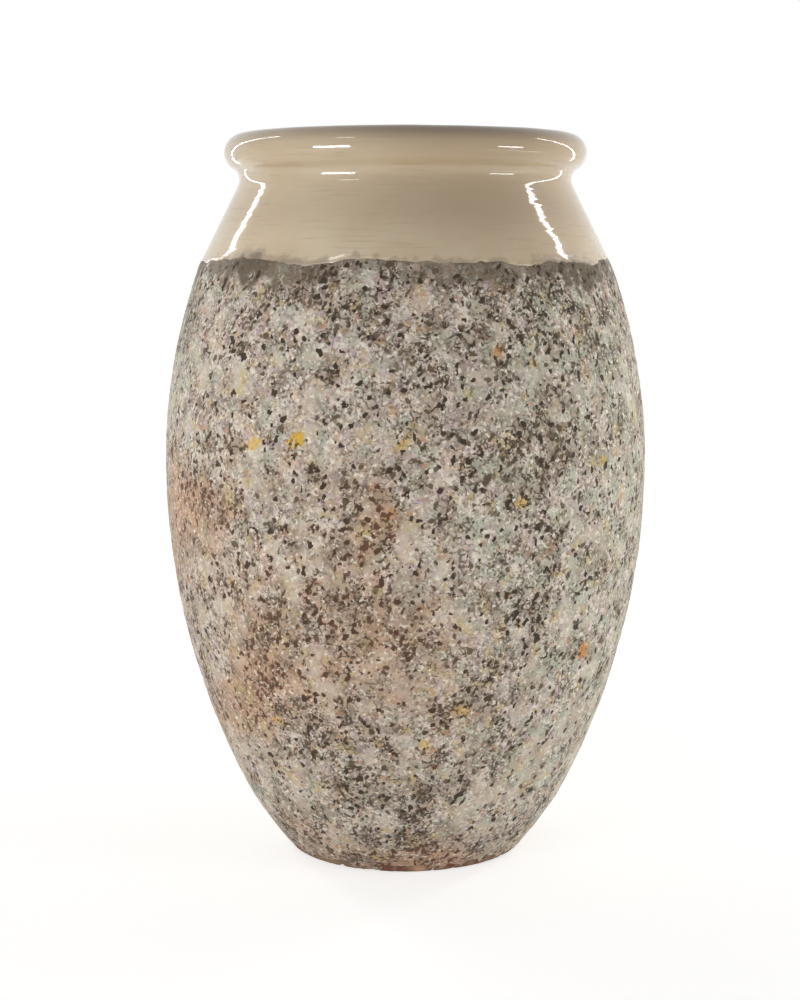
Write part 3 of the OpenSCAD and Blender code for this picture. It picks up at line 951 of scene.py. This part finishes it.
def makeFloor():
    # a flat square, white to the camera but for the shadow
    half = studio["floorHalf"]
    mesh = bpy.data.meshes.new("floor")
    corners = [(-half, -half, 0), (half, -half, 0), (half, half, 0), (-half, half, 0)]
    mesh.from_pydata(corners, [], [(0, 1, 2, 3)])
    floor = bpy.data.objects.new("floor", mesh)
    bpy.context.scene.collection.objects.link(floor)
    material, tree, out, place = newMaterial("white_paper_sweep")
    paper = addNode(tree, "BsdfDiffuse", {}, {"Color": linear(studio["floorColour"])})[0]
    away = addNode(tree, "VectorMath", {"operation": "LENGTH"}, {0: place})["Value"]
    glow = addNode(tree, "MapRange", {"interpolation_type": "SMOOTHSTEP"}, {
        "Value": away, "From Min": studio["near"], "From Max": studio["far"],
        "To Min": studio["nearGlow"], "To Max": studio["farGlow"]})[0]
    bright = addNode(tree, "Emission", {}, {"Color": (1, 1, 1, 1), "Strength": glow})[0]
    share = addNode(tree, "Math", {"operation": "MULTIPLY"},
                    {0: seenRays(tree), 1: 1 - studio["shadowShare"]})[0]
    shader = addNode(tree, "MixShader", {}, {0: share, 1: paper, 2: bright})[0]
    tree.links.new(shader, out.inputs["Surface"])
    mesh.materials.append(material)


def makeWorld():
    # white where it is seen; otherwise bright behind the jar, dimmer in front of it and overhead
    world = bpy.data.worlds.new("white_studio")
    bpy.context.scene.world = world
    world.use_nodes = True
    tree = world.node_tree
    tree.nodes.clear()
    out = tree.nodes.new("ShaderNodeOutputWorld")
    direction = addNode(tree, "TexCoord", {}, {})["Generated"]
    axes = addNode(tree, "SeparateXYZ", {}, {0: direction})
    behind = addNode(tree, "MapRange", {"interpolation_type": "SMOOTHSTEP"}, {
        "Value": axes["Y"], "From Min": 0.0, "From Max": 0.20,
        "To Min": studio["frontLight"], "To Max": studio["backLight"]})[0]
    zenith = addNode(tree, "MapRange", {"interpolation_type": "SMOOTHSTEP"}, {
        "Value": axes["Z"], "From Min": 0.25, "From Max": 0.85,
        "To Min": 1.0, "To Max": studio["zenithShare"]})[0]
    level = addNode(tree, "Math", {"operation": "MULTIPLY"}, {0: behind, 1: zenith})[0]
    level = addNode(tree, "Mix", {"data_type": "FLOAT"}, {0: seenRays(tree), 2: level, 3: 1.0})[0]
    sky = addNode(tree, "Background", {}, {"Color": (1, 1, 1, 1), "Strength": level})[0]
    tree.links.new(sky, out.inputs["Surface"])


# Softboxes: lower end, upper end, width, power, seen in the glaze
softboxes = {
    "left_strip": ((-0.860, 1.229, 0.25), (-1.350, 0.246, 1.90), 0.034, 4.1, True),
    "right_strip": ((1.061, 1.061, 0.25), (1.295, 0.119, 1.60), 0.034, 3.4, True),
    "left_window": ((-1.980, -1.980, 0.20), (-1.980, -1.980, 0.75), 1.20, 34.0, True),
    "right_window": ((2.558, -1.139, 0.50), (2.558, -1.139, 0.75), 0.90, 9.0, True),
    "left_lamp": ((-1.405, -1.561, 2.30), (-1.405, -1.561, 2.50), 0.55, 2.2, True),
    "right_fill": ((2.739, -0.582, 0.05), (2.739, -0.582, 0.45), 1.20, 30.0, False),
    "left_back": ((-1.607, 1.915, 0.20), (-1.607, 1.915, 0.80), 0.80, 6.0, False),
}


def makeLights():
    # each softbox runs from its lower end to its upper end and faces the middle of the jar
    for label, (low, high, width, power, seen) in softboxes.items():
        ends = np.array([low, high])
        middle = (ends[0] + ends[1]) / 2
        length = np.linalg.norm(ends[1] - ends[0])
        along = (ends[1] - ends[0]) / length
        facing = np.array([0, 0, jar["bellyZ"]]) - middle
        facing = facing - along * (facing @ along)
        facing = facing / np.linalg.norm(facing)
        lamp = bpy.data.lights.new(label, "AREA")
        lamp.shape = "RECTANGLE"
        lamp.size = width
        lamp.size_y = length
        lamp.energy = power
        box = bpy.data.objects.new(label, lamp)
        turn = np.eye(4)
        turn[:3, :4] = np.stack([np.cross(facing, along), along, -facing, middle], axis=-1)
        box.matrix_world = mathutils.Matrix(turn.tolist())
        box.visible_camera = False
        box.visible_glossy = seen
        bpy.context.scene.collection.objects.link(box)


def makeCamera():
    # level with the shoulder, in front of the jar, pitched down to it
    lensData = bpy.data.cameras.new("photo_view")
    lensData.sensor_fit = "VERTICAL"
    lensData.sensor_height = 36
    lensData.lens = studio["lens"]
    lensData.shift_x = studio["shiftX"]
    camera = bpy.data.objects.new("photo_view", lensData)
    camera.location = studio["cameraPlace"]
    camera.rotation_euler = (math.radians(90 - studio["cameraPitch"]), 0, 0)
    bpy.context.scene.collection.objects.link(camera)
    bpy.context.scene.camera = camera


makeFloor()
makeWorld()
makeLights()
makeCamera()
bpy.context.scene.view_settings.view_transform = "Standard"
print("studio set")
